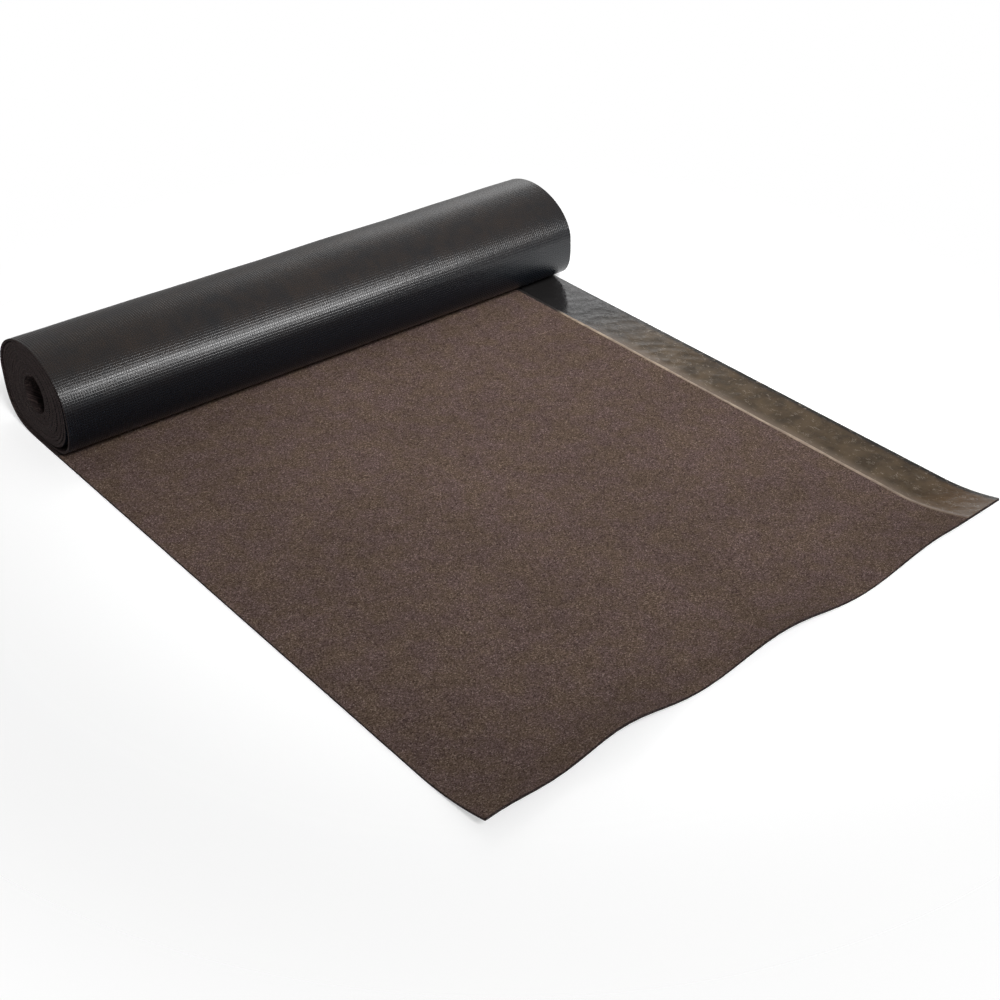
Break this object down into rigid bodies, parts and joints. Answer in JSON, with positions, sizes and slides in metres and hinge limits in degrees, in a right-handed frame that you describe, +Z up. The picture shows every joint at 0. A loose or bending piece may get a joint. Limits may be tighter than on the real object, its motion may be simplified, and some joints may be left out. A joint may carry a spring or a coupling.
{
  "type": "roofing felt roll",
  "caption": "Partly run-out roll of mineral-surfaced roofing felt with a film-covered lap strip, slack sagging turns, an open bore and a wavy free end that curls up.",
  "frame": {"origin": "middle of the whole felt's footprint, at floor level", "axes": "+X along the winding axis towards the lap strip, +Y from the free end towards the roll, +Z up"},
  "size_m": [1, 1.1558, 0.1607],
  "materials": {
    "felt": "brown mineral granules on one face, black embossed film-faced bitumen on the other",
    "film": "thin wrinkled glossy release film over black bitumen"
  },
  "bodies": {
    "root": {"roofing_felt": "felt", "release_film": "film"}
  },
  "joints": []
}
